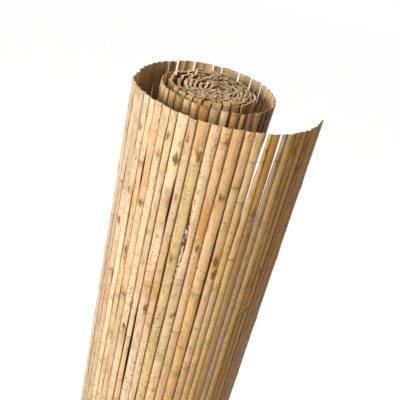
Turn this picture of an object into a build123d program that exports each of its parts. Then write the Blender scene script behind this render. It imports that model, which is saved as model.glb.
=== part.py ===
"""Split reed screening, a rolled garden screen standing on its end.

One mat of upright split reeds, wound into a tight core with its last turn and a half sprung loose,
and nine binding wires that run along the inner faces of the reeds. Sizes are in millimetres. The
origin is the middle of the roll's box at floor level, and +Z is up along the reeds.
"""

import math
import os
import random
from build123d import *

# Driving dimensions
mat_height = 1000.0
reed_width = 11.2  # mean, with half of the gap on either side
reed_width_spread = 0.17  # how far the widest and narrowest reed are from the mean, as a share
web_thickness = 1.1  # wall between two ridges
ridge_rise = 0.153  # height of a ridge above the web, as a share of the ridge's width
gap_width = 1.3  # slit through the web between two sprung reeds
gap_edge = 0.25  # web left on either side of a slit
gap_depth = 700.0  # how far a slit runs down from the top
overcut = 1.0  # how far a slit's cut goes past the web's faces
wire_diameter = 0.7
wire_count = 9
wire_margin = 33.0  # from an end of the reeds to the nearest wire
wire_clearance = 0.12  # between a wire and the reeds
turn_clearance = 1.1  # between a wire and the turn that it faces
eye_radius = 7.0  # hollow in the middle of the winding
core_turns = 9.05
core_end_angle = 120.0  # where the tight core ends, in degrees from +X
slit_angle = 65.0  # slits start here past the end of the core, clear of it
slit_every = 2  # reeds from one slit to the next
width_seed = 15346

# Widths of the reeds in front as shares of reed_width, read from the photo, from the free edge back
front_shares = (
    (0.85, 0.85, 0.83, 0.84, 0.88, 0.83, 0.91, 1.06, 0.85, 0.93, 0.83, 0.84, 0.94)
    + (1.17, 0.95, 1.13, 1.16, 0.85, 1.17, 0.88, 1.03, 0.96, 0.89, 1.08, 1.13)
)

# How far the mat stands off an even winding, by its angle in degrees past the end of the core: the
# core's last two turns are slack on the left, and what comes after them has sprung loose
sprung = (
    (-750.0, 0.0),
    (-660.0, 2.0),
    (-570.0, 0.0),
    (-420.0, 0.0),
    (-345.0, 2.6),
    (-300.0, 5.2),
    (-255.0, 2.4),
    (-205.0, 0.0),
    (-60.0, 0.0),
    (0.0, 2.9),
    (65.0, 8.7),
    (120.0, 9.8),
    (150.0, 11.2),
    (180.0, 17.9),
    (225.0, 19.0),
    (270.0, 23.2),
    (315.0, 30.8),
    (340.0, 32.3),
    (380.0, 29.7),
    (425.0, 33.4),
    (470.0, 39.3),
    (510.0, 49.4),
    (550.0, 61.9),
    (592.0, 71.6),
)

# Sizes that follow
strip_width = gap_width + 2 * gap_edge  # flat strip of web between two ridges
widest_ridge = reed_width * (1 + reed_width_spread) - strip_width
reed_thickness = web_thickness + ridge_rise * widest_ridge
turn_pitch = reed_thickness + wire_clearance + wire_diameter + turn_clearance
core_radius = eye_radius + core_turns * turn_pitch
first_angle = -360.0 * core_turns
last_angle = sprung[-1][0]
wire_step = (mat_height - 2 * wire_margin) / (wire_count - 1)


def stand_off(angle):
    """Height above the winding, smooth through the points of sprung."""
    if angle <= sprung[0][0]:
        return 0.0
    n = 0
    while n < len(sprung) - 2 and angle > sprung[n + 1][0]:
        n += 1
    a, b = sprung[n], sprung[n + 1]
    after = sprung[min(n + 2, len(sprung) - 1)]
    slope_a = (b[1] - sprung[n - 1][1]) / (b[0] - sprung[n - 1][0]) if n else 0.0
    slope_b = (after[1] - a[1]) / (after[0] - a[0])
    span = b[0] - a[0]
    t = (angle - a[0]) / span
    level = a[1] + (b[1] - a[1]) * t * t * (3 - 2 * t)
    return level + span * t * (1 - t) * (slope_a * (1 - t) - slope_b * t)


def on_winding(angle):
    """Point of the mat's inner face at an angle past the end of the core."""
    radius = core_radius + turn_pitch * angle / 360.0 + stand_off(angle)
    turned = math.radians(core_end_angle + angle)
    return (radius * math.cos(turned), radius * math.sin(turned))


def beside(point, direction, along, out):
    """A point moved along a direction, in radians, and out square to it, away from the core."""
    x = point[0] + along * math.cos(direction) + out * math.sin(direction)
    y = point[1] + along * math.sin(direction) - out * math.cos(direction)
    return (x, y)


# The winding's length, walked in small steps from its inner end
steps = 6000
angles = [first_angle + (last_angle - first_angle) * n / steps for n in range(steps + 1)]
walk = [on_winding(angle) for angle in angles]
walked = [0.0]
for here, there in zip(walk, walk[1:]):
    walked.append(walked[-1] + math.dist(here, there))
mat_length = walked[-1]


def at_length(length):
    """Point of the winding at a length from its inner end."""
    low, high = 0, steps
    while high - low > 1:
        middle = (low + high) // 2
        low, high = (middle, high) if walked[middle] <= length else (low, middle)
    share = (length - walked[low]) / (walked[high] - walked[low])
    return tuple(a + (b - a) * share for a, b in zip(walk[low], walk[high]))


# Where each reed begins and ends, from the inner end of the mat to its free edge
front_widths = [share * reed_width for share in front_shares]
rest_length = mat_length - sum(front_widths)
rest_count = round(rest_length / reed_width)
draw = random.Random(width_seed)
rest = [1 + draw.uniform(-reed_width_spread, reed_width_spread) for n in range(rest_count)]
rest_widths = [share * rest_length / sum(rest) for share in rest]
widths = list(reversed(front_widths + rest_widths))
reed_count = len(widths)
edges = [0.0]
for width in widths:
    edges.append(edges[-1] + width)

# The wall's outline, reed by reed: a straight inner face, and a ridge between two flat strips
inner_points = [at_length(edge) for edge in edges]
directions = []
outer_edges = []
corners = []
for here, there in zip(inner_points, inner_points[1:]):
    width = math.dist(here, there)
    ridge_width = width - strip_width
    direction = math.atan2(there[1] - here[1], there[0] - here[0])
    left = beside(here, direction, strip_width / 2, web_thickness)
    crown = beside(here, direction, width / 2, web_thickness + ridge_rise * ridge_width)
    right = beside(here, direction, width - strip_width / 2, web_thickness)
    if corners:
        outer_edges.append(Edge.make_line(corners[-1], left))
    outer_edges.append(Edge.make_three_point_arc(left, crown, right))
    directions.append(direction)
    corners += [left, right]

with BuildLine() as wall_outline:
    Polyline(corners[0], *inner_points, corners[-1])
    add(outer_edges)

# A wire follows the inner faces, and a slit is cut square to the wall, each where two reeds meet
near_side = []
far_side = []
slits = []
slit_start = next(length for length, angle in zip(walked, angles) if angle >= slit_angle)
for n, point in enumerate(inner_points):
    before = directions[max(n - 1, 0)]
    after = directions[min(n, reed_count - 1)]
    half_turn = math.remainder(after - before, 2 * math.pi) / 2
    direction = before + half_turn
    near = wire_clearance / math.cos(half_turn)
    far = (wire_clearance + wire_diameter) / math.cos(half_turn)
    near_side.append(beside(point, direction, 0, -near))
    far_side.append(beside(point, direction, 0, -far))
    if 0 < n < reed_count and edges[n] > slit_start and (reed_count - n) % slit_every == 1:
        place = beside(point, direction, 0, web_thickness / 2)
        slits.append(Location((*place, 0), (0, 0, math.degrees(direction))))

with BuildLine() as wire_outline:
    Polyline(*near_side, *reversed(far_side), close=True)

# The roll's box is centred over the origin
middle = wall_outline.line.bounding_box().center()
floor = Plane(origin=(-middle.X, -middle.Y, 0))

os.makedirs("parts", exist_ok=True)

with BuildPart() as reed_mat:
    with BuildSketch(floor):
        add(wall_outline.line)
        make_face()
    extrude(amount=mat_height)
    with BuildSketch(floor.offset(mat_height)):
        with Locations(*slits):
            Rectangle(gap_width, web_thickness + 2 * overcut)
    extrude(amount=-gap_depth, mode=Mode.SUBTRACT)
reed_mat.part.label = "reed_mat"
export_step(reed_mat.part, "parts/reed_mat.step")

for number in range(wire_count):
    height = wire_margin + number * wire_step
    with BuildPart() as binding_wire:
        with BuildSketch(floor.offset(height - wire_diameter / 2)):
            add(wire_outline.line)
            make_face()
        extrude(amount=wire_diameter)
    binding_wire.part.label = f"binding_wire_{number + 1}"
    export_step(binding_wire.part, f"parts/binding_wire_{number + 1}.step")
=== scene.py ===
import math
import random

import bpy
import numpy as np
from mathutils import Matrix, Vector


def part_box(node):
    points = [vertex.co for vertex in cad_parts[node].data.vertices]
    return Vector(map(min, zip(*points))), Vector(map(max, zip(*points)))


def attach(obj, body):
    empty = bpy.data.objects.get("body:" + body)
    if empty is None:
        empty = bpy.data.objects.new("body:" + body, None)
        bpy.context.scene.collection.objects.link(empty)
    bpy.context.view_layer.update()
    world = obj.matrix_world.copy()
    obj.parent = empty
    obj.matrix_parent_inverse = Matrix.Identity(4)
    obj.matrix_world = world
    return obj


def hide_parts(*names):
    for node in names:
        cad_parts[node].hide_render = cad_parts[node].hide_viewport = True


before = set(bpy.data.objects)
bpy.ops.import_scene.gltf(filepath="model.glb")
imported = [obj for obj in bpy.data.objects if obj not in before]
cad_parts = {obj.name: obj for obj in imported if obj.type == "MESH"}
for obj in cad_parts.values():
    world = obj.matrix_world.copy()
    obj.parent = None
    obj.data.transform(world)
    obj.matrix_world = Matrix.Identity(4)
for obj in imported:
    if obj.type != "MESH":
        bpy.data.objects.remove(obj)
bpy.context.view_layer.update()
mm = 0.001
print("frame loaded:", len(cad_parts), "nodes")


def hexToLinear(code):
    channels = [int(code[n:n + 2], 16) / 255 for n in (0, 2, 4)]
    return [c / 12.92 if c <= 0.04045 else ((c + 0.055) / 1.055) ** 2.4 for c in channels] + [1.0]


def addNode(tree, kind, settings=None, links=None):  # small names are settings, the rest are sockets
    node = tree.nodes.new("ShaderNode" + kind)
    for key, value in (settings or {}).items():
        if isinstance(key, str) and key[0].islower():
            setattr(node, key, value)
        else:
            node.inputs[key].default_value = value
    for key, source in (links or {}).items():  # a node stands for its first output
        tree.links.new(source.outputs[0] if isinstance(source, bpy.types.Node) else source, node.inputs[key])
    return node


# Settings that many nodes share, and the sockets of a colour mix
plus, minus, times, absolute = ({"operation": kind} for kind in ("ADD", "SUBTRACT", "MULTIPLY", "ABSOLUTE"))
smooth = {"interpolation_type": "SMOOTHSTEP"}
inColour = {"data_type": "RGBA"}
mixFrom, mixTo, mixOut = 6, 7, 2


def newMaterial(name):
    material = bpy.data.materials.new(name)
    material.use_nodes = True
    material.node_tree.nodes.clear()
    return material, material.node_tree


def selectOnly(*things):
    bpy.ops.object.select_all(action="DESELECT")
    for thing in things:
        thing.select_set(True)
    bpy.context.view_layer.objects.active = things[0]


def countTriangles(things):
    return sum(len(face.vertices) - 2 for thing in things for face in thing.data.polygons)


# Where each reed stands, read off the foot of the CAD mat: its inner face there is one straight run a reed

matFoot = {"height": 0.2, "shortestRun": 5.0}  # mm


def readReeds(node):
    mesh = node.data
    uses = {}
    for face in mesh.polygons:
        corners = [mesh.vertices[v].co for v in face.vertices]
        if max(corner.z for corner in corners) > matFoot["height"] * mm:
            continue
        flat = [(corner.x, corner.y) for corner in corners]
        for a, b in zip(flat, flat[1:] + flat[:1]):
            uses[frozenset((a, b))] = uses.get(frozenset((a, b)), 0) + 1
    outline = [tuple(edge) for edge, count in uses.items() if count == 1]
    beside = {}
    for a, b in outline:
        if math.dist(a, b) > matFoot["shortestRun"] * mm:
            beside.setdefault(a, []).append(b)
            beside.setdefault(b, []).append(a)
    middle = [sum(p[n] for p in beside) / len(beside) for n in (0, 1)]
    ends = [p for p, others in beside.items() if len(others) == 1]
    path = [max(ends, key=lambda p: math.dist(p, middle))]  # the free edge comes first
    while len(path) < len(beside):
        path.append(next(p for p in beside[path[-1]] if len(path) < 2 or p != path[-2]))
    return [Vector((*point, 0)) for point in path]


# Where the photo's reeds stand a little off the CAD plan: by the edge before a reed, mm along X and Y
nudges = (
    (23, 0, 0), (24, -0.3, 0), (25, -1.0, 0), (26, -2.4, -0.2), (27, -3.4, -0.8), (28, -1.8, 0),
    (29, -0.6, 0), (30, 0, 0), (43, 0, 0), (47, -1.0, 0), (52, -1.3, 0), (57, -1.0, 0), (60, 0, 0),
)
coreFrom = 80  # the core starts at this edge
eyeShift = Vector((9.0, -1.0, 0)) * mm  # the eye of the winding is off its middle


def placeReeds(edges):
    core = edges[coreFrom:]
    axis = sum(core, Vector()) / len(core)
    reach = max((edge - axis).length for edge in core)
    atEdge, alongX, alongY = zip(*nudges)
    moved = []
    for number, edge in enumerate(edges):
        aside = [np.interp(number, atEdge, shift) * mm for shift in (alongX, alongY)]
        inward = max(0, 1 - (edge - axis).length / reach) if number >= coreFrom else 0
        moved.append(edge + Vector((*aside, 0)) + eyeShift * inward)
    places = []
    for start, end in zip(moved, moved[1:]):
        across = (end - start).normalized()
        out = Vector((0, 0, 1)).cross(across)
        middle = (start + end) / 2
        places.append({"middle": middle, "across": across, "out": out, "width": (end - start).length})
    return places


reedPlaces = placeReeds(readReeds(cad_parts["reed_mat"]))
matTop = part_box("reed_mat")[1].z
print("reeds read from the frame:", len(reedPlaces))


# Materials

rindLook = {
    "pinkFlush": "C79C86", "amberFlush": "C8924A", "darkFibre": "8A6434", "mottle": "A67F48",
    "speck": "74491F", "spot": "2E1F14", "stain": "CB8A3E", "scar": "66401C", "scarHalo": "A06E36",
    "nodeLine": "76542C", "nodeBloom": "A39C72", "nodeFlush": "B5823F", "splitEdge": "402812",
    "fibreSpacing": 1.3, "fibreAlong": 50.0, "cloudAcross": 9.0, "cloudAlong": 70.0,  # mm
    "mottleSpacing": 5.0, "speckSpacing": 2.7, "spotSpacing": 3.9, "nodeStep": 122.0,  # mm
    "mottleDown": 0.35, "speckDown": 0.7, "scarOval": (0.5, 1.0, 0.0),  # marks are longer down the reed
    "sections": {"Hue": (0.496, 0.504), "Saturation": (0.85, 1.03), "Value": (0.88, 1.08)},
}
corePaintedShade = 0.75  # how strongly painted shade darkens the core's hidden faces

# Rind of a split giant reed: hard, waxy and straw to olive, with lengthwise fibres, brown specks and
# scars, and a dark ring with a grey-green bloom under it at each joint. Its wax gives a soft shine
splitReedRind, tree = newMaterial("splitReedRind")
rindValues = ("rindTone", "reedSeed", "scarA", "scarB", "stain", "spotted")
reedValue = {name: addNode(tree, "Attribute", {"attribute_name": name}) for name in rindValues}
seed = reedValue["reedSeed"].outputs["Fac"]
along = addNode(tree, "UVMap", {"uv_map": "alongReed"})
reedUv = addNode(tree, "SeparateXYZ", links={0: along})
acrossMm = reedUv.outputs["X"]
alongNodes = reedUv.outputs["Y"]
place = addNode(tree, "TexCoord")
placeXyz = addNode(tree, "SeparateXYZ", links={0: place.outputs["Object"]})
heightMm = addNode(tree, "Math", times | {1: 1 / mm}, {0: placeXyz.outputs["Z"]})

# fibres: fine across, long down the reed
fibreAcross = addNode(tree, "Math", times | {1: 1 / rindLook["fibreSpacing"]}, {0: acrossMm})
fibreDown = addNode(tree, "Math", times | {1: 1 / rindLook["fibreAlong"]}, {0: heightMm})
fibrePlace = addNode(tree, "CombineXYZ", links={0: fibreAcross, 1: fibreDown, 2: seed})
fibre = addNode(tree, "TexNoise", {"Scale": 1.0, "Detail": 4.0, "Roughness": 0.65}, {"Vector": fibrePlace})

# clouds: slow changes of tone down a reed
cloudAcross = addNode(tree, "Math", times | {1: 1 / rindLook["cloudAcross"]}, {0: acrossMm})
cloudDown = addNode(tree, "Math", times | {1: 1 / rindLook["cloudAlong"]}, {0: heightMm})
cloudPlace = addNode(tree, "CombineXYZ", links={0: cloudAcross, 1: cloudDown, 2: seed})
cloud = addNode(tree, "TexNoise", {"Scale": 1.0, "Detail": 3.0}, {"Vector": cloudPlace})
cloudXyz = addNode(tree, "SeparateColor", links={0: cloud.outputs["Color"]})

# each length between two joints has a tone of its own
section = addNode(tree, "Math", {"operation": "FLOOR"}, {0: alongNodes})
sectionPlace = addNode(tree, "CombineXYZ", links={0: section, 1: seed})
sectionDice = addNode(tree, "TexWhiteNoise", {"noise_dimensions": "2D"}, {"Vector": sectionPlace})
sectionXyz = addNode(tree, "SeparateColor", links={0: sectionDice.outputs["Color"]})
toneLinks = {"Color": reedValue["rindTone"]}
for n, (socket, (least, most)) in enumerate(rindLook["sections"].items()):
    spread = {"To Min": least, "To Max": most}
    toneLinks[socket] = addNode(tree, "MapRange", spread, {"Value": sectionXyz.outputs[n]})
rind = addNode(tree, "HueSaturation", links=toneLinks)

flushes = (  # colour, what it follows, where it starts and is full, and its most
    ("pinkFlush", cloudXyz.outputs[0], 0.54, 0.76, 0.35),
    ("amberFlush", cloudXyz.outputs[1], 0.54, 0.76, 0.5),
    ("darkFibre", fibre, 0.52, 0.74, 0.42),
)
for colour, follows, start, full, most in flushes:
    spread = {"From Min": start, "From Max": full, "To Max": most}
    part = addNode(tree, "MapRange", smooth | spread, {"Value": follows})
    laid = inColour | {mixTo: hexToLinear(rindLook[colour])}
    rind = addNode(tree, "Mix", laid, {0: part, mixFrom: rind}).outputs[mixOut]
paleSpread = {"From Min": 0.46, "From Max": 0.26, "To Max": 0.6}
palePart = addNode(tree, "MapRange", smooth | paleSpread, {"Value": fibre})
paleFibre = addNode(tree, "HueSaturation", {"Saturation": 0.85, "Value": 1.2}, {"Color": rind})
rind = addNode(tree, "Mix", inColour, {0: palePart, mixFrom: rind, mixTo: paleFibre}).outputs[mixOut]
marks = []  # what lies on the rind: colours in this order, each with its mask

# mottle: dull olive-brown blotches a few mm across
mottleDown = addNode(tree, "Math", times | {1: rindLook["mottleDown"]}, {0: heightMm})
mottlePlace = addNode(tree, "CombineXYZ", links={0: acrossMm, 1: mottleDown, 2: seed})
mottleGrain = {"Scale": 1 / rindLook["mottleSpacing"], "Detail": 5.0, "Roughness": 0.65}
mottle = addNode(tree, "TexNoise", mottleGrain, {"Vector": mottlePlace})
mottleSpread = {"From Min": 0.48, "From Max": 0.7, "To Max": 0.58}
mottlePart = addNode(tree, "MapRange", smooth | mottleSpread, {"Value": mottle})
marks.append(("mottle", mottlePart))

# specks: small brown flecks, in clusters
speckDown = addNode(tree, "Math", times | {1: rindLook["speckDown"]}, {0: heightMm})
speckPlace = addNode(tree, "CombineXYZ", links={0: acrossMm, 1: speckDown, 2: seed})
speckGrain = {"Scale": 1 / rindLook["speckSpacing"], "Detail": 2.0}
speck = addNode(tree, "TexNoise", speckGrain, {"Vector": speckPlace})
speckPart = addNode(tree, "MapRange", smooth | {"From Min": 0.57, "From Max": 0.69}, {"Value": speck})
clusterSpread = {"From Min": 0.45, "From Max": 0.62, "To Max": 0.7}
speckCluster = addNode(tree, "MapRange", smooth | clusterSpread, {"Value": cloudXyz.outputs[2]})
marks.append(("speck", addNode(tree, "Math", times, {0: speckPart, 1: speckCluster})))

# spots: one strip of reed is covered with dark ones
spotGrain = {"Scale": 1 / rindLook["spotSpacing"], "Detail": 0.0}
spot = addNode(tree, "TexNoise", spotGrain, {"Vector": speckPlace})
spotSpread = {"From Min": 0.53, "From Max": 0.62, "To Max": 0.8}
spotPart = addNode(tree, "MapRange", smooth | spotSpread, {"Value": spot})
marks.append(("spot", addNode(tree, "Math", times, {0: spotPart, 1: reedValue["spotted"].outputs["Fac"]})))

# a stain: a stretch of a reed, ragged at its edges. Its place holds height mm, half length mm and strength
stainXyz = addNode(tree, "SeparateXYZ", links={0: reedValue["stain"].outputs["Vector"]})
stainOff = addNode(tree, "Math", minus, {0: heightMm, 1: stainXyz.outputs["X"]})
stainAway = addNode(tree, "Math", absolute, {0: stainOff})
stainIn = addNode(tree, "Math", minus, {0: stainXyz.outputs["Y"], 1: stainAway})
ragMm = {"From Min": 0.3, "From Max": 0.7, "To Min": -20.0, "To Max": 20.0}
stainRag = addNode(tree, "MapRange", ragMm, {"Value": speck})
stainSum = addNode(tree, "Math", plus, {0: stainIn, 1: stainRag})
stainPart = addNode(tree, "MapRange", smooth | {"From Min": -6.0, "From Max": 8.0}, {"Value": stainSum})
marks.append(("stain", addNode(tree, "Math", times, {0: stainPart, 1: stainXyz.outputs["Z"]})))

# two scars a reed, brown ovals where a side shoot was. Their places hold height mm, across mm and size mm
scarPlace = addNode(tree, "CombineXYZ", links={0: heightMm, 1: acrossMm})
ragMm = {"From Min": 0.3, "From Max": 0.7, "To Min": -3.2, "To Max": 3.2}
scarRag = addNode(tree, "MapRange", ragMm, {"Value": mottle})
haloSpread = {"From Min": -1.6, "From Max": 0.8, "To Max": 0.5}
scarSpread = {"From Min": -0.2, "From Max": 2.6, "To Max": 0.75}
for name in ("scarA", "scarB"):
    scar = reedValue[name].outputs["Vector"]
    scarXyz = addNode(tree, "SeparateXYZ", links={0: scar})
    scarOff = addNode(tree, "VectorMath", minus, {0: scarPlace, 1: scar})
    oval = addNode(tree, "VectorMath", times | {1: rindLook["scarOval"]}, {0: scarOff})
    away = addNode(tree, "VectorMath", {"operation": "LENGTH"}, {0: oval})
    inside = addNode(tree, "Math", minus, {0: scarXyz.outputs["Z"], 1: away.outputs["Value"]})
    insideRagged = addNode(tree, "Math", plus, {0: inside, 1: scarRag})
    marks.append(("scarHalo", addNode(tree, "MapRange", smooth | haloSpread, {"Value": insideRagged})))
    marks.append(("scar", addNode(tree, "MapRange", smooth | scarSpread, {"Value": insideRagged})))

# joints: a line at whole numbers along the reed, a bloom below it and a flush above, each its own strength
nearest = addNode(tree, "Math", {"operation": "ROUND"}, {0: alongNodes})
fromNode = addNode(tree, "Math", minus, {0: alongNodes, 1: nearest})
nodeMm = addNode(tree, "Math", times | {1: rindLook["nodeStep"]}, {0: fromNode})
waver = addNode(tree, "MapRange", {"To Min": -1.5, "To Max": 1.5}, {"Value": cloud})
nodeWaved = addNode(tree, "Math", plus, {0: nodeMm, 1: waver})
nodeSeed = addNode(tree, "CombineXYZ", links={0: nearest, 1: seed})
nodeDice = addNode(tree, "TexWhiteNoise", {"noise_dimensions": "2D"}, {"Vector": nodeSeed})
nodeDiceXyz = addNode(tree, "SeparateColor", links={0: nodeDice.outputs["Color"]})
bloomUp = addNode(tree, "MapRange", smooth | {"From Min": -9.0, "From Max": -4.0}, {"Value": nodeWaved})
bloomDown = addNode(tree, "MapRange", smooth | {"From Min": -0.2, "From Max": -1.6}, {"Value": nodeWaved})
bloomBoth = addNode(tree, "Math", times, {0: bloomUp, 1: bloomDown})
bloomPatch = addNode(tree, "MapRange", smooth | {"From Min": 0.36, "From Max": 0.56}, {"Value": mottle})
bloomSum = addNode(tree, "Math", times, {0: bloomBoth, 1: bloomPatch})
bloomShare = {"From Min": 0.15, "To Max": 0.85}
bloomStrength = addNode(tree, "MapRange", bloomShare, {"Value": nodeDiceXyz.outputs[0]})
marks.append(("nodeBloom", addNode(tree, "Math", times, {0: bloomSum, 1: bloomStrength})))
flushUp = addNode(tree, "MapRange", smooth | {"From Min": 13.0, "From Max": 3.0}, {"Value": nodeWaved})
flushDown = addNode(tree, "MapRange", smooth | {"From Min": -0.2, "From Max": 0.6}, {"Value": nodeWaved})
flushBoth = addNode(tree, "Math", times, {0: flushUp, 1: flushDown})
flushShare = {"From Min": 0.35, "To Max": 0.6}
flushStrength = addNode(tree, "MapRange", flushShare, {"Value": nodeDiceXyz.outputs[1]})
marks.append(("nodeFlush", addNode(tree, "Math", times, {0: flushBoth, 1: flushStrength})))
lineAway = addNode(tree, "Math", absolute, {0: nodeWaved})
linePart = addNode(tree, "MapRange", smooth | {"From Min": 2.0, "From Max": 0.3}, {"Value": lineAway})
lineShare = {"From Min": 0.4, "To Min": 0.05, "To Max": 0.7}
lineStrength = addNode(tree, "MapRange", lineShare, {"Value": nodeDiceXyz.outputs[2]})
marks.append(("nodeLine", addNode(tree, "Math", times, {0: linePart, 1: lineStrength})))

# split edges go brown, here more and there less, and this band also paints the shade of each reed's rounded
# sides and of the dark gaps between reeds
edgeAway = addNode(tree, "Math", absolute, {0: acrossMm})
edgeSpread = {"From Min": 4.3, "From Max": 5.5, "To Max": 0.8}
edgePart = addNode(tree, "MapRange", smooth | edgeSpread, {"Value": edgeAway})
breakSpread = {"From Min": 0.4, "From Max": 0.58, "To Min": 0.25}
edgeBreak = addNode(tree, "MapRange", smooth | breakSpread, {"Value": cloud})
marks.append(("splitEdge", addNode(tree, "Math", times, {0: edgePart, 1: edgeBreak})))

for colour, mask in marks:
    laid = inColour | {mixTo: hexToLinear(rindLook[colour])}
    rind = addNode(tree, "Mix", laid, {0: mask, mixFrom: rind}).outputs[mixOut]
roughSpread = {"From Min": 0.3, "From Max": 0.7, "To Min": 0.38, "To Max": 0.58}
rindRough = addNode(tree, "MapRange", roughSpread, {"Value": fibre})
rindBump = addNode(tree, "Bump", {"Strength": 0.35, "Distance": 0.25 * mm}, {"Height": fibre})
rindShine = {"IOR": 1.5, "Specular IOR Level": 0.12}
rindLinks = {"Base Color": rind, "Roughness": rindRough, "Normal": rindBump}
rindShader = addNode(tree, "BsdfPrincipled", rindShine, rindLinks)
addNode(tree, "OutputMaterial", links={"Surface": rindShader})

# Pith side of a split reed: the dry, dull inside of the stem, paler and furrowed, with no shine
pithLook = {"pale": "CDB08A", "dark": "96724A", "paintedShade": "5E4426", "furrow": 0.9, "cloudAlong": 60.0}  # mm
reedPith, tree = newMaterial("reedPith")
pithValues = ("rindTone", "reedSeed", "inCore")
reedValue = {name: addNode(tree, "Attribute", {"attribute_name": name}) for name in pithValues}
seed = reedValue["reedSeed"].outputs["Fac"]
along = addNode(tree, "UVMap", {"uv_map": "alongReed"})
reedUv = addNode(tree, "SeparateXYZ", links={0: along})
place = addNode(tree, "TexCoord")
placeXyz = addNode(tree, "SeparateXYZ", links={0: place.outputs["Object"]})
furrowAcross = addNode(tree, "Math", times | {1: 1 / pithLook["furrow"]}, {0: reedUv.outputs["X"]})
furrowDown = addNode(tree, "Math", times | {1: 1 / mm / pithLook["cloudAlong"]}, {0: placeXyz.outputs["Z"]})
furrowPlace = addNode(tree, "CombineXYZ", links={0: furrowAcross, 1: furrowDown, 2: seed})
furrow = addNode(tree, "TexNoise", {"Scale": 1.0, "Detail": 4.0, "Roughness": 0.6}, {"Vector": furrowPlace})
pithSpread = {"From Min": 0.35, "From Max": 0.72, "To Max": 0.8}
pithPart = addNode(tree, "MapRange", smooth | pithSpread, {"Value": furrow})
pithColours = {mixFrom: hexToLinear(pithLook["pale"]), mixTo: hexToLinear(pithLook["dark"])}
pith = addNode(tree, "Mix", inColour | pithColours, {0: pithPart}).outputs[mixOut]
strayed = {mixFrom: pith, mixTo: reedValue["rindTone"]}  # each reed's own tone shows through
pith = addNode(tree, "Mix", inColour | {0: 0.45}, strayed).outputs[mixOut]
paintedShade = inColour | {mixTo: hexToLinear(pithLook["paintedShade"])}  # painted shade on the core's hidden faces
pith = addNode(tree, "Mix", paintedShade, {0: reedValue["inCore"].outputs["Fac"], mixFrom: pith}).outputs[mixOut]
pithDice = addNode(tree, "TexWhiteNoise", {"noise_dimensions": "1D"}, {"W": seed})
pithVal = addNode(tree, "MapRange", {"To Min": 0.72, "To Max": 1.1}, {"Value": pithDice.outputs["Value"]})
pithTone = addNode(tree, "HueSaturation", links={"Color": pith, "Value": pithVal})
pithBump = addNode(tree, "Bump", {"Strength": 0.5, "Distance": 0.3 * mm}, {"Height": furrow})
pithShine = {"Roughness": 0.85, "IOR": 1.45, "Specular IOR Level": 0.15}
pithShader = addNode(tree, "BsdfPrincipled", pithShine, {"Base Color": pithTone, "Normal": pithBump})
addNode(tree, "OutputMaterial", links={"Surface": pithShader})

# Cut end and split edge of a reed: fresh pale wood with the dark pores of the stem's vessels
cutLook = {"pale": "F0DAB6", "dark": "B6926A", "pore": "80603A", "poreSpacing": 0.8, "cloud": 6.0}  # mm
reedCutEnd, tree = newMaterial("reedCutEnd")
cutValues = ("rindTone", "reedSeed", "inCore")
reedValue = {name: addNode(tree, "Attribute", {"attribute_name": name}) for name in cutValues}
place = addNode(tree, "TexCoord").outputs["Object"]
cutCloud = addNode(tree, "TexNoise", {"Scale": 1 / mm / cutLook["cloud"], "Detail": 3.0}, {"Vector": place})
seed = reedValue["reedSeed"].outputs["Fac"]
cutDice = addNode(tree, "TexWhiteNoise", {"noise_dimensions": "1D"}, {"W": seed})
cutSum = addNode(tree, "Math", plus, {0: cutCloud, 1: cutDice.outputs["Value"]})
cutSpread = {"From Min": 0.55, "From Max": 1.5, "To Max": 0.85}
cutPart = addNode(tree, "MapRange", smooth | cutSpread, {"Value": cutSum})
cutColours = {mixFrom: hexToLinear(cutLook["pale"]), mixTo: hexToLinear(cutLook["dark"])}
cutTone = addNode(tree, "Mix", inColour | cutColours, {0: cutPart}).outputs[mixOut]
pores = addNode(tree, "TexVoronoi", {"Scale": 1 / mm / cutLook["poreSpacing"]}, {"Vector": place})
poreSpread = {"From Min": 0.35, "From Max": 0.2, "To Max": 0.55}
porePart = addNode(tree, "MapRange", poreSpread, {"Value": pores})
laid = inColour | {mixTo: hexToLinear(cutLook["pore"])}
cutTone = addNode(tree, "Mix", laid, {0: porePart, mixFrom: cutTone}).outputs[mixOut]
cutDull = addNode(tree, "HueSaturation", {"Value": 0.72}, {"Color": reedValue["rindTone"]})
oldSpread = {"From Max": corePaintedShade, "To Min": 0.75, "To Max": 0.0}  # loose reeds have weathered ends
cutOld = addNode(tree, "MapRange", oldSpread, {"Value": reedValue["inCore"].outputs["Fac"]})
cutTone = addNode(tree, "Mix", inColour, {0: cutOld, mixFrom: cutTone, mixTo: cutDull}).outputs[mixOut]
cutBump = addNode(tree, "Bump", {"Strength": 0.4, "Distance": 0.2 * mm}, {"Height": pores})
cutShine = {"Roughness": 0.8, "IOR": 1.45, "Specular IOR Level": 0.2}
cutShader = addNode(tree, "BsdfPrincipled", cutShine, {"Base Color": cutTone, "Normal": cutBump})
addNode(tree, "OutputMaterial", links={"Surface": cutShader})

# Galvanised iron wire, drawn and weathered: dull grey zinc that has gone brown in patches
wireLook = {"zinc": "A3937A", "rust": "8D7350", "patch": 14.0}  # mm
galvanisedWire, tree = newMaterial("galvanisedWire")
place = addNode(tree, "TexCoord").outputs["Object"]
wireGrain = {"Scale": 1 / mm / wireLook["patch"], "Detail": 4.0}
wirePatch = addNode(tree, "TexNoise", wireGrain, {"Vector": place})
wirePart = addNode(tree, "MapRange", smooth | {"From Min": 0.4, "From Max": 0.62}, {"Value": wirePatch})
wireColours = {mixFrom: hexToLinear(wireLook["zinc"]), mixTo: hexToLinear(wireLook["rust"])}
wireTone = addNode(tree, "Mix", inColour | wireColours, {0: wirePart}).outputs[mixOut]
wireRough = addNode(tree, "MapRange", {"To Min": 0.45, "To Max": 0.75}, {"Value": wirePatch})
wireLinks = {"Base Color": wireTone, "Roughness": wireRough}
wireShader = addNode(tree, "BsdfPrincipled", {"Metallic": 0.6}, wireLinks)
addNode(tree, "OutputMaterial", links={"Surface": wireShader})
print("materials made")


# Reed blanks: a round reed, split lengthwise, with its joints. Copies of a blank are cut to length

nodeStep = rindLook["nodeStep"] * mm
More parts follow.
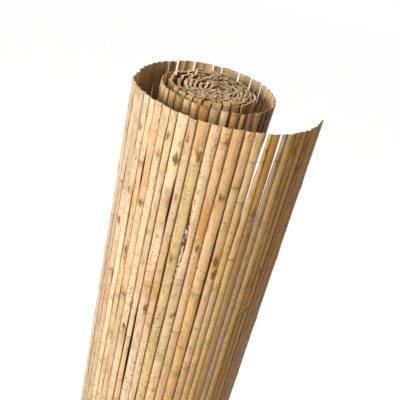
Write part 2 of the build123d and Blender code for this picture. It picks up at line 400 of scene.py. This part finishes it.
# mm and degrees, and the joints from the first to the last. The core's is a thicker slat
looseShape = {"radius": 8.6, "halfAngle": 37.2, "sides": 38, "wall": 1.2, "nodes": range(-2, 11)}
coreShape = {"radius": 16.0, "halfAngle": 20.0, "sides": 45, "wall": 3.3, "nodes": (-2, 10)}
nodeRings = (  # where from a joint, as a share of the step, and the swelling there
    (-0.5, 0.994), (-0.34, 0.994), (-0.18, 0.994), (-0.05, 1.0), (-0.018, 1.014), (0.0, 1.006),
    (0.018, 1.012), (0.05, 1.0), (0.18, 0.994), (0.34, 0.994),
)
plainRings = ((0.0, 1.0),)
jointRise = 18  # a joint swells outward by this power of what it swells sideways
pithSlot, cutSlot = 1, 2  # a reed's materials after its rind


def makeBlank(name, shape, rings):
    radius = shape["radius"] * mm
    half = math.radians(shape["halfAngle"])
    sunk = radius * math.cos(half)  # the reed's axis lies this far below the split
    heights = [(node + at, swell) for node in shape["nodes"] for at, swell in rings]
    bpy.ops.object.select_all(action="DESELECT")
    bpy.ops.mesh.primitive_circle_add(vertices=shape["sides"], radius=radius, location=(0, -sunk, 0))
    blank = bpy.context.object
    blank.name = name
    bpy.ops.object.transform_apply(location=True, rotation=True, scale=True)
    bpy.ops.object.mode_set(mode="EDIT")
    bpy.ops.mesh.select_all(action="SELECT")
    bpy.ops.mesh.bisect(plane_co=(0, 0, 0), plane_no=(0, 1, 0), clear_inner=True)  # the reed is split
    bpy.ops.mesh.select_all(action="SELECT")
    bpy.ops.transform.translate(value=(0, 0, heights[0][0] * nodeStep))
    for (low, swellLow), (high, swellHigh) in zip(heights, heights[1:]):
        bpy.ops.mesh.extrude_region_move(TRANSFORM_OT_translate={"value": (0, 0, (high - low) * nodeStep)})
        if swellHigh != swellLow:
            ratio = swellHigh / swellLow
            bpy.ops.transform.resize(value=(ratio, ratio ** jointRise, 1), center_override=(0, 0, 0))
    bpy.ops.mesh.select_all(action="SELECT")
    bpy.ops.mesh.normals_make_consistent(inside=False)
    bpy.ops.object.mode_set(mode="OBJECT")
    crown = max(blank.data.polygons, key=lambda face: face.center.y)
    if crown.normal.y < 0:
        bpy.ops.object.mode_set(mode="EDIT")
        bpy.ops.mesh.flip_normals()
        bpy.ops.object.mode_set(mode="OBJECT")
    while blank.data.uv_layers:
        blank.data.uv_layers.remove(blank.data.uv_layers[0])
    layer = blank.data.uv_layers.new(name="alongReed")  # mm across, joints along
    for loop in blank.data.loops:
        corner = blank.data.vertices[loop.vertex_index].co
        turn = math.atan2(corner.x, corner.y + sunk)
        layer.data[loop.index].uv = (turn * shape["radius"], corner.z / nodeStep)
    for material in (splitReedRind, reedPith, reedCutEnd):
        blank.data.materials.append(material)
    wall = blank.modifiers.new("wall", "SOLIDIFY")
    wall.thickness = shape["wall"] * mm
    wall.offset = -1
    wall.material_offset = pithSlot
    wall.material_offset_rim = cutSlot
    bpy.ops.object.modifier_apply(modifier="wall")
    blank.hide_render = True
    return blank


looseBlank = makeBlank("looseBlank", looseShape, nodeRings)
coreBlank = makeBlank("coreBlank", coreShape, plainRings)
print("blanks made:", len(looseBlank.data.polygons), "and", len(coreBlank.data.polygons), "faces")


# The reeds, counted from the free edge

reedTones = {
    "paleStraw": "EED6AE", "straw": "E8C796", "peach": "E8C098", "oliveStraw": "DFC58C",
    "paleOlive": "CDBC86", "amber": "D0984A", "tan": "D8AC74", "mauve": "C6A28C", "olive": "AE9042",
    "brown": "A6763C", "rust": "C08038", "umber": "84664A", "palePeach": "DABF9E", "gold": "E4B87C",
    "darkStraw": "BE9250", "chalk": "D2C1AA", "honey": "D6AE6A", "copper": "C68F4C", "moss": "C4AE68",
    # the darkest mauve and brown on the next line are painted shade for the loose turn's inner pass
    "paintedShadeMauve": "96786A", "paintedShadeBrown": "74501E", "ochre": "AE8230", "fawn": "C29450", "walnut": "9A6E28",
}
commonTones = (
    "paleStraw", "straw", "straw", "peach", "straw", "oliveStraw", "oliveStraw", "paleOlive", "amber", "tan",
    "tan", "mauve", "brown",
)
# the core's tones run dark, partly the reeds' own colour and partly painted shade of the narrow gaps between
# its turns
coreTones = ("tan", "brown", "umber", "olive", "oliveStraw", "umber", "rust")
frontTones = (
    "walnut", "walnut", "ochre", "walnut", "walnut", "fawn", "ochre", "honey", "mauve", "darkStraw",
    "honey", "tan", "tan", "gold", "gold", "straw", "oliveStraw", "peach", "paleStraw", "straw",
    "paleStraw", "peach", "straw", "paleStraw", "palePeach", "palePeach", "palePeach", "palePeach",
)
innerTones = {  # the loose turn's inner pass, and the core's last turn, in front; reeds 54 to 56 and 58 take darker tones as painted shade
    54: "paintedShadeBrown", 55: "paintedShadeBrown", 56: "paintedShadeBrown", 57: "oliveStraw", 58: "paintedShadeMauve", 59: "moss", 60: "copper",
    61: "oliveStraw", 62: "mauve", 63: "amber", 64: "gold", 65: "oliveStraw", 66: "olive", 67: "straw",
    68: "oliveStraw", 69: "straw", 87: "brown", 88: "olive", 89: "olive", 90: "mauve", 91: "paleOlive",
    92: "tan", 93: "amber", 94: "straw", 95: "oliveStraw",
}
strayTones = {"names": ("straw", "tan", "oliveStraw", "straw"), "share": (0, 0.25)}  # what a tone strays to
firstJoints = {  # mm from the top to a joint, and from joint to joint
    5: (25, 124), 7: (75, 130), 8: (31, 118), 9: (99, 131), 10: (33, 127), 11: (83, 122), 12: (65, 135),
    13: (80, 133), 14: (17, 130), 15: (70, 127), 16: (48, 125), 17: (2, 140), 18: (105, 118), 19: (70, 122),
    20: (56, 131), 21: (121, 136), 22: (75, 130), 23: (52, 113), 24: (118, 125),
}
scarPlaces = {  # mm from the top, mm across from the crown, size in mm
    4: ((20, 0.0, 4.4), (48, 1.0, 4.0)), 5: ((188, 0.0, 2.8), (250, 1.0, 2.2)),
    6: ((20, 0.0, 4.4), (205, -1.0, 2.0)), 8: ((33, 0.0, 4.4), (160, 1.0, 1.4)),
    9: ((99, 0.0, 4.8), (128, -2.0, 2.0)), 10: ((33, -2.0, 2.6), (20, 0.0, 2.0)),
    12: ((164, 0.5, 4.4), (182, -1.4, 3.6)), 13: ((80, 0.0, 1.4), (300, 2.0, 1.2)),
    14: ((17, -3.0, 2.2), (148, 0.0, 2.4)), 15: ((250, -4.4, 3.0), (20, -4.6, 2.8)),
    16: ((38, -1.0, 2.4), (172, 0.0, 1.6)), 17: ((94, 0.6, 1.6), (24, 1.0, 2.2)),
    18: ((50, -2.9, 3.6), (257, -3.0, 3.4)), 19: ((153, 3.2, 2.4), (28, 1.0, 2.2)),
    20: ((55, -3.0, 2.2), (300, -1.0, 2.4)), 21: ((254, -2.4, 2.4), (120, -2.0, 2.2)),
    22: ((196, -2.4, 2.8), (208, -3.0, 2.2)), 23: ((40, 0.0, 2.2), (120, 1.0, 1.2)),
}
anyScar = {"fromTop": (20, 980), "across": (-4, 4), "sizes": (-9, -9, 1.0, 1.8, 2.6)}  # mm, -9 shows none
stainPlaces = {  # mm from the top, half length in mm, strength
    9: (14, 18, 0.5), 10: (26, 14, 0.5), 12: (170, 14, 0.45), 14: (112, 30, 0.7), 16: (14, 22, 0.4),
    17: (225, 12, 0.55), 18: (215, 28, 0.3), 21: (95, 10, 0.4), 22: (198, 9, 0.45), 24: (285, 10, 0.5),
}
anyStain = {"fromTop": (350, 950), "reach": (10, 45), "strengths": (0, 0, 0.3, 0.5)}  # mm
# By the reed before a gap: mm from the top, half length, mm wide, and which side gives way (-1 this reed)
openGaps = {
    8: ((0, 50, 1.6, -1), (0, 135, 1.7, -1)), 10: ((0, 60, 1.7, -1.84), (0, 140, 1.9, -1.84)),
    12: ((190, 130, 0.7, 0),), 14: ((18, 14, 0.9, 0),), 15: ((150, 44, 4.0, -1), (170, 150, 0.9, 0)),
    16: ((215, 95, 0.8, 0),), 17: ((112, 40, 1.7, 0),), 18: ((30, 40, 0.6, 0), (330, 90, 2.2, 0)),
    19: ((310, 60, 1.2, 0),), 21: ((86, 30, 1.9, 0), (270, 50, 1.2, 0)), 22: ((150, 80, 0.9, 0),),
    23: ((252, 24, 1.8, 0), (35, 35, 0.9, 0)), 24: ((112, 28, 1.8, 0),), 33: ((70, 70, 0.9, 0),),
    34: ((0, 60, 0.45, 0),), 35: ((0, 50, 0.55, 0),), 36: ((0, 230, 2.4, 0),), 38: ((0, 200, 1.9, 0),),
    40: ((0, 190, 2.0, 0),), 41: ((0, 190, 1.6, 0),), 43: ((0, 210, 2.3, 0),), 45: ((0, 240, 1.9, 0),),
    46: ((0, 150, 0.7, 0),), 47: ((0, 36, 2.5, 0),), 48: ((0, 24, 1.9, 0),), 49: ((0, 22, 2.3, 0),),
}
gapRanges = (  # up to this reed, the gap before each is so many mm wide
    (10, (-0.14, -0.04)), (19, (0.4, 1.1)), (28, (0.15, 0.8)), (53, (0.05, 0.15)), (58, (0.6, 1.2)),
    (72, (2.0, 3.0)), (78, (1.0, 2.0)), (110, (0.9, 2.0)), (999, (0.2, 0.9)),
)
gapRun = {"wander": 0.5, "lean": 0.6, "wave": (60, 130), "lobe": (50, 110), "openings": (0, 0, 0, 0.6)}  # mm
reedCut = {  # mm, degrees, slopes and shares. In pairs, loose reeds come first and the core's second
    "looseCount": 78, "riseLoose": 0.155, "riseSpread": ((0.9, 1.06), (0.75, 1.25)), "edge": (0.45, 0.9),
    "firstJoint": (0, 125), "jointStep": (104, 134), "twist": (3.0, 6.0), "bow": (0.25, 0.05),
    "bowWave": (80, 170), "topLift": 1.0, "topDrop": (1.5, 3.2), "backDrop": 4.2, "topUneven": 1.5,
    "topSlant": 0.07, "topSink": 0.4, "slantAt": 1.5, "footDrop": 0.6, "coreShift": (-1.1, 0.4),
    "coreRise": 5.0, "coreRiseFrom": 120.0, "coreThinner": 0.5,
}
topJoint = 8  # this joint of a blank becomes a reed's first from the top
waveShare = (0.2, 1)  # how much of a wave a reed has
fullTurn = 6.28
diceSeeds = {"reed": 1000, "coreShift": 5000, "gap": 9000, "patternStep": 7.31}
backReeds = range(28, 37)  # at the back on the left the tops are most uneven
leanIn = ((44, 0.0), (48, 1.0), (55, 1.0), (60, 0.0))  # reeds that lean in on the right, and how much
leanMost = {"depth": 48.0, "shift": 1.9, "upTo": 1.5}  # mm below the top, mm inward there, and the most

coreMiddles = [place["middle"] for place in reedPlaces[coreFrom:]]
coreAxis = sum(coreMiddles, Vector()) / len(coreMiddles)
coreReach = max((middle - coreAxis).length for middle in coreMiddles)


def gapSide(number, up):  # the gap before a reed: how far it strays to the core's side, and its width, in m
    dice = random.Random(diceSeeds["gap"] + number)
    gap = next(span for last, span in gapRanges if number <= last)
    wide = up * 0 + dice.uniform(*gap) * mm
    if number > reedCut["looseCount"]:
        return up * 0, wide
    wave = np.sin(up / (dice.uniform(*gapRun["wave"]) * mm) + dice.uniform(0, fullTurn))
    wander = gapRun["wander"] * dice.uniform(*waveShare) * wave
    stray = (wander + gapRun["lean"] * dice.uniform(-1, 1) * (up / matTop - 0.5)) * mm
    if number - 1 in openGaps:
        for fromTop, reach, opening, side in openGaps[number - 1]:
            bump = np.clip(1 - ((matTop - up) / mm - fromTop) ** 2 / reach ** 2, 0, 1) * opening * mm
            wide = wide + bump
            stray = stray + side * bump / 2
    elif number > len(frontTones):
        wave = np.sin(up / (dice.uniform(*gapRun["lobe"]) * mm) + dice.uniform(0, fullTurn))
        wide = wide + np.clip(wave, 0, 1) ** 2 * dice.choice(gapRun["openings"]) * mm
    return stray, wide


def leaning(number, up):  # how far a reed is moved in at a height, in m
    share = np.interp(number, *zip(*leanIn))
    depth = np.clip((matTop - up) / (leanMost["depth"] * mm), 0, leanMost["upTo"])
    return share * leanMost["shift"] * mm * depth


def bendReed(reed, number, place, dice):  # a blank takes on its reed's width, rise, joints and bow
    loose = number < reedCut["looseCount"]
    kind = 0 if loose else 1
    shape = (looseShape, coreShape)[kind]
    blankHalf = shape["radius"] * math.sin(math.radians(shape["halfAngle"])) * mm
    blankRise = shape["radius"] * (1 - math.cos(math.radians(shape["halfAngle"]))) * mm
    toRight = max(0, (place["middle"] - coreAxis).x) / coreReach
    thinner = 1 - reedCut["coreThinner"] * toRight  # the core is wound more loosely on the right
    rise = place["width"] * reedCut["riseLoose"] if loose else blankRise * thinner
    rise = rise * dice.uniform(*reedCut["riseSpread"][kind])
    anyJoint = (dice.uniform(*reedCut["firstJoint"]), dice.uniform(*reedCut["jointStep"]))
    firstJoint, jointStep = firstJoints.get(number, anyJoint)
    points = np.zeros(len(reed.data.vertices) * 3)
    reed.data.vertices.foreach_get("co", points)
    across, out, up = points.reshape(-1, 3).T
    up = matTop + ((up / nodeStep - topJoint) * jointStep - firstJoint) * mm
    stray, wide = gapSide(number, up)
    strayNext, wideNext = gapSide(number + 1, up)
    low = -place["width"] / 2 + stray + wide / 2  # the edge to the free side
    high = place["width"] / 2 + strayNext - wideNext / 2  # the edge to the core's side
    across = (low + high) / 2 + across / blankHalf * (high - low) / 2
    twist = math.radians(dice.uniform(-1, 1) * reedCut["twist"][kind])
    out = out * (rise / blankRise) + reedCut["edge"][kind] * mm
    out = out + np.sin(twist) * across - leaning(number, up)
    if not loose:
        out = out + random.Random(diceSeeds["coreShift"] + number).uniform(*reedCut["coreShift"]) * mm
    wave = np.sin(up / (dice.uniform(*reedCut["bowWave"]) * mm) + dice.uniform(0, fullTurn))
    out = out + reedCut["bow"][kind] * mm * (1 + wave) * dice.uniform(*waveShare)
    reed.data.vertices.foreach_set("co", np.stack((across, out, up), 1).ravel())


def sawReed(reed, at, normal, keepLow):  # in edit mode, through the whole reed at a height
    through = (0, reedCut["slantAt"] * mm, at)
    clear = {"clear_outer": keepLow, "clear_inner": not keepLow}
    bpy.ops.mesh.select_all(action="SELECT")
    bpy.ops.mesh.bisect(plane_co=through, plane_no=normal, use_fill=True, **clear)
    reed.active_material_index = cutSlot
    bpy.ops.object.material_slot_assign()


def trimReed(reed, number, place, dice):  # cut to length, top and foot
    loose = number < reedCut["looseCount"]
    drop = reedCut["backDrop"] if number in backReeds else reedCut["topDrop"][0 if loose else 1]
    topAt = matTop + (reedCut["topLift"] - dice.uniform(0, 1) ** reedCut["topUneven"] * drop) * mm
    if not loose:  # the core stands a little higher at its back
        turned = math.radians(reedCut["coreRiseFrom"])
        fromAxis = place["middle"] - coreAxis
        behind = fromAxis.x * math.cos(turned) + fromAxis.y * math.sin(turned)
        topAt += max(0, behind) / coreReach * reedCut["coreRise"] * mm
    slant = (dice.uniform(-1, 1) * reedCut["topSlant"], dice.uniform(-1, 1) * reedCut["topSlant"], 1)
    footAt = dice.uniform(0, reedCut["footDrop"]) * mm
    selectOnly(reed)
    bpy.ops.object.mode_set(mode="EDIT")
    for at, normal, keepLow in ((topAt - reedCut["topSink"] * mm, slant, True), (footAt, (0, 0, 1), False)):
        sawReed(reed, at, normal, keepLow)
    bpy.ops.object.mode_set(mode="OBJECT")


def paintReed(reed, number, dice):  # what a reed's materials read: its tone, its scars and its stain
    loose = number < reedCut["looseCount"]
    if number < len(frontTones):
        tone = frontTones[number]
    else:
        tone = innerTones.get(number) or dice.choice(commonTones if loose else coreTones)
    other = dice.choice(strayTones["names"])
    pairs = zip(hexToLinear(reedTones[tone]), hexToLinear(reedTones[other]))
    mixed = [a + (b - a) * dice.uniform(*strayTones["share"]) for a, b in pairs]
    scars = []
    for n in range(2):
        at = (dice.uniform(*anyScar["fromTop"]), dice.uniform(*anyScar["across"]))
        scars.append((*at, dice.choice(anyScar["sizes"])))
    scars = [(matTop / mm - fromTop, side, size) for fromTop, side, size in scarPlaces.get(number, scars)]
    at = (dice.uniform(*anyStain["fromTop"]), dice.uniform(*anyStain["reach"]))
    fromTop, reach, strength = stainPlaces.get(number) or (*at, dice.choice(anyStain["strengths"]))
    values = {
        "rindTone": ("FLOAT_COLOR", "color", mixed),
        "reedSeed": ("FLOAT", "value", [number * diceSeeds["patternStep"]]),
        "scarA": ("FLOAT_VECTOR", "vector", scars[0]),
        "scarB": ("FLOAT_VECTOR", "vector", scars[1]),
        "stain": ("FLOAT_VECTOR", "vector", (matTop / mm - fromTop, reach, strength)),
        "inCore": ("FLOAT", "value", [0.0 if loose else corePaintedShade]),
        "spotted": ("FLOAT", "value", [1.0 if number == spottedStrip["number"] else 0.0]),
    }
    for name, (kind, field, value) in values.items():
        layer = reed.data.attributes.new(name, kind, "POINT")
        layer.data.foreach_set(field, list(value) * len(reed.data.vertices))


def cutReed(number, place):
    dice = random.Random(diceSeeds["reed"] + number)
    blank = looseBlank if number < reedCut["looseCount"] else coreBlank
    reed = bpy.data.objects.new("reed", blank.data.copy())
    bpy.context.collection.objects.link(reed)
    bendReed(reed, number, place, dice)
    trimReed(reed, number, place, dice)
    x, y, at = place["across"], place["out"], place["middle"]
    reed.data.transform(Matrix(((x.x, y.x, 0, at.x), (x.y, y.y, 0, at.y), (0, 0, 1, 0), (0, 0, 0, 1))))
    paintReed(reed, number, dice)
    return reed


finerFrom = 132  # from here inward the reeds of the core are split once more


def halve(place):
    quarter = place["across"] * place["width"] / 4
    middles = (place["middle"] - quarter, place["middle"] + quarter)
    return [dict(place, middle=middle, width=place["width"] / 2) for middle in middles]


# The eye of the winding: the reeds round it, and two slats that are pushed in, mm out and mm wide
eyeLook = {"reeds": 4, "slats": ((-2.1, 6.0), (0.5, 6.6))}
innermost = reedPlaces[-1]
eye = sum((place["middle"] for place in reedPlaces[-eyeLook["reeds"]:]), Vector()) / eyeLook["reeds"]
eyeSlats = [
    dict(innermost, middle=eye + innermost["out"] * out * mm, width=wide * mm)
    for out, wide in eyeLook["slats"]
]
halves = [half for place in reedPlaces[finerFrom:] for half in halve(place)]
slats = reedPlaces[:finerFrom] + halves + eyeSlats
spottedStrip = {  # mm, with its top and foot below the mat's top
    "number": len(slats), "gap": 16, "tone": "chalk", "behind": -2.2, "width": 8.5,
    "top": 126.0, "foot": 196.0,
}


def cutStrip():  # a pale, spotted strip of reed shows through the gap between two of the front reeds
    place = dict(reedPlaces[spottedStrip["gap"]])
    inGap = place["middle"] - place["across"] * place["width"] / 2
    place["middle"] = inGap + place["out"] * spottedStrip["behind"] * mm
    place["width"] = spottedStrip["width"] * mm
    innerTones[spottedStrip["number"]] = spottedStrip["tone"]
    strip = cutReed(spottedStrip["number"], place)
    selectOnly(strip)
    bpy.ops.object.mode_set(mode="EDIT")
    for fromTop, keepLow in ((spottedStrip["top"], True), (spottedStrip["foot"], False)):
        sawReed(strip, matTop - fromTop * mm, (0, 0, 1), keepLow)
    bpy.ops.object.mode_set(mode="OBJECT")
    return strip


looseNumbers = range(reedCut["looseCount"])
coreNumbers = range(reedCut["looseCount"], len(slats))
groups = []
reedsAPiece = {"looseReeds": 5, "coreReeds": 60}
for name, numbers in (("looseReeds", looseNumbers), ("coreReeds", coreNumbers)):
    size = reedsAPiece[name]
    groups += [(name, numbers[n:n + size]) for n in range(0, len(numbers), size)]
smoothAngle = 38  # degrees, so that the split edges stay sharp
pieces = []
for name, numbers in groups:
    reeds = [cutReed(number, slats[number]) for number in numbers]
    if spottedStrip["gap"] in numbers:
        reeds.append(cutStrip())
    selectOnly(*reeds)
    bpy.ops.object.join()
    piece = bpy.context.object
    piece.name = f"{name}_{numbers[0] + 1:03d}"
    bpy.ops.object.shade_smooth_by_angle(angle=math.radians(smoothAngle))
    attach(piece, "root")
    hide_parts("reed_mat")
    pieces.append(piece)
for blank in (looseBlank, coreBlank):
    bpy.data.objects.remove(blank, do_unlink=True)
print("reed pieces:", len(pieces), "triangles:", countTriangles(pieces))


# Binding wires: a strand over the crowns and one behind, crossed in every gap. The core has only the second

wireRun = {  # mm out from the mat's inner face, and shares of a reed's half width
    "radius": 0.13, "sides": 1, "overRind": 0.08, "frontInGap": 1.0,
    "frontAt": (-0.7, -0.35, 0.0, 0.35, 0.7), "behind": -0.7, "backInGap": 0.2,
    "backAt": (-0.5, 0.5), "behindCore": -1.9, "cross": 0.25,
}


def wirePoint(number, side, out, height):
    place = reedPlaces[number]
    aside = place["across"] * side + place["out"] * (out * mm - leaning(number, height))
    return place["middle"] + aside + Vector((0, 0, height))


def makeWire(name, node):
    low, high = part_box(node)
    height = (low.z + high.z) / 2
    front = []
    back = []
    for number, place in enumerate(reedPlaces):
        if number >= reedCut["looseCount"]:
            back.append(wirePoint(number, 0, wireRun["behindCore"], height))
            continue
        half = place["width"] / 2
        rise = place["width"] * reedCut["riseLoose"] / mm
        cross = wireRun["cross"] * mm * (1 if number % 2 else -1)
        front.append(wirePoint(number, -half, wireRun["frontInGap"], height + cross))
        for share in wireRun["frontAt"]:
            over = reedCut["edge"][0] + reedCut["bow"][0] + rise * (1 - share ** 2) + wireRun["overRind"]
            front.append(wirePoint(number, share * half, over, height))
        back.append(wirePoint(number, -half, wireRun["backInGap"], height - cross))
        for share in wireRun["backAt"]:
            back.append(wirePoint(number, share * half, wireRun["behind"], height))
    curve = bpy.data.curves.new(name, "CURVE")
    curve.dimensions = "3D"
    curve.bevel_depth = wireRun["radius"] * mm
    curve.bevel_resolution = wireRun["sides"]
    curve.use_fill_caps = True
    for strand in (front, back):
        spline = curve.splines.new("POLY")
        spline.points.add(len(strand) - 1)
        for point, at in zip(spline.points, strand):
            point.co = (*at, 1)
    wire = bpy.data.objects.new(name, curve)
    bpy.context.collection.objects.link(wire)
    selectOnly(wire)
    bpy.ops.object.convert(target="MESH")
    wire = bpy.context.object
    wire.data.materials.clear()
    wire.data.materials.append(galvanisedWire)
    bpy.ops.object.shade_smooth()
    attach(wire, "root")
    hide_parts(node)
    return wire


wireCount = sum(name.startswith("binding_wire_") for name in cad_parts)
wires = [makeWire(f"bindingWire_{n + 1}", f"binding_wire_{n + 1}") for n in range(wireCount)]
print("wires:", len(wires), "triangles:", countTriangles(wires))


# Floor, light and camera

# Pale studio floor: white paper that shows white to the camera and keeps a faint shadow
floorLook = {"size": 12, "below": 0.0005, "grey": 0.5, "glow": 1.11, "glowShare": 0.88}  # m and shares
studioFloor, tree = newMaterial("studioFloor")
rays = addNode(tree, "LightPath").outputs
seen = addNode(tree, "Math", {"operation": "MAXIMUM"}, {0: rays["Is Camera Ray"], 1: rays["Is Glossy Ray"]})
seenAll = addNode(tree, "Math", {"operation": "MAXIMUM"}, {0: seen, 1: rays["Is Transmission Ray"]})
seenPart = addNode(tree, "Math", times | {1: floorLook["glowShare"]}, {0: seenAll})
paper = addNode(tree, "BsdfDiffuse", {"Color": [floorLook["grey"]] * 3 + [1.0]})
white = addNode(tree, "Emission", {"Color": hexToLinear("FFFFFF"), "Strength": floorLook["glow"]})
floorMix = addNode(tree, "MixShader", links={0: seenPart, 1: paper, 2: white})
addNode(tree, "OutputMaterial", links={"Surface": floorMix})

bpy.ops.object.select_all(action="DESELECT")
bpy.ops.mesh.primitive_plane_add(size=floorLook["size"], location=(0, 0, -floorLook["below"]))
floor = bpy.context.object
floor.name = "floor"
floor.data.materials.append(studioFloor)

world = bpy.data.worlds.new("studio")
world.use_nodes = True
world.node_tree.nodes.clear()
tree = world.node_tree
rays = addNode(tree, "LightPath").outputs
seen = addNode(tree, "Math", {"operation": "MAXIMUM"}, {0: rays["Is Camera Ray"], 1: rays["Is Glossy Ray"]})
ambient = addNode(tree, "Background", {"Color": (1, 0.92, 0.8, 1), "Strength": 0.22})
backdrop = addNode(tree, "Background", {"Color": hexToLinear("FFFFFF"), "Strength": 1.0})
skyMix = addNode(tree, "MixShader", links={0: seen, 1: ambient, 2: backdrop})
addNode(tree, "OutputWorld", links={"Surface": skyMix})
bpy.context.scene.world = world

lamps = {  # place in m, size in m, watts, colour
    "keyLamp": ((-1.75, -2.1, 1.75), 1.0, 83, (1.0, 0.965, 0.915)),
    "fillLamp": ((2.2, -1.8, 1.5), 1.6, 14, (1.0, 0.85, 0.58)),
    "rimLamp": ((-1.35, 1.0, 2.1), 1.2, 20, (1.0, 0.97, 0.93)),
}
aim = Vector((-0.02, 0.0, 0.9))
for name, (at, size, watts, colour) in lamps.items():
    lamp = bpy.data.lights.new(name, "AREA")
    lamp.size = size
    lamp.energy = watts
    lamp.color = colour
    holder = bpy.data.objects.new(name, lamp)
    bpy.context.collection.objects.link(holder)
    holder.location = at
    holder.rotation_euler = (aim - Vector(at)).to_track_quat("-Z", "Y").to_euler()

photoCamera = {  # mm, degrees, pixels, and metres for the clip
    "at": (-3.87, -653.98, 1226.73), "down": 29.5, "roll": 13.84, "focalPixels": 595.19, "framePixels": 400,
    "sensor": 36.0, "clip": (0.01, 50),
}
down, roll = math.radians(photoCamera["down"]), math.radians(photoCamera["roll"])
ahead = Vector((0, math.cos(down), -math.sin(down)))
level = Vector((1, 0, 0))
upright = level.cross(ahead)
right = level * math.cos(roll) + upright * math.sin(roll)
top = upright * math.cos(roll) - level * math.sin(roll)
lens = bpy.data.cameras.new("photoCamera")
lens.sensor_width = photoCamera["sensor"]
lens.lens = photoCamera["focalPixels"] / photoCamera["framePixels"] * photoCamera["sensor"]
lens.clip_start, lens.clip_end = photoCamera["clip"]
camera = bpy.data.objects.new("photoCamera", lens)
bpy.context.collection.objects.link(camera)
at = Vector(photoCamera["at"]) * mm
camera.matrix_world = Matrix([(right[n], top[n], -ahead[n], at[n]) for n in range(3)] + [(0, 0, 0, 1)])
bpy.context.scene.camera = camera
bpy.context.scene.view_settings.view_transform = "Standard"

bpy.context.view_layer.update()
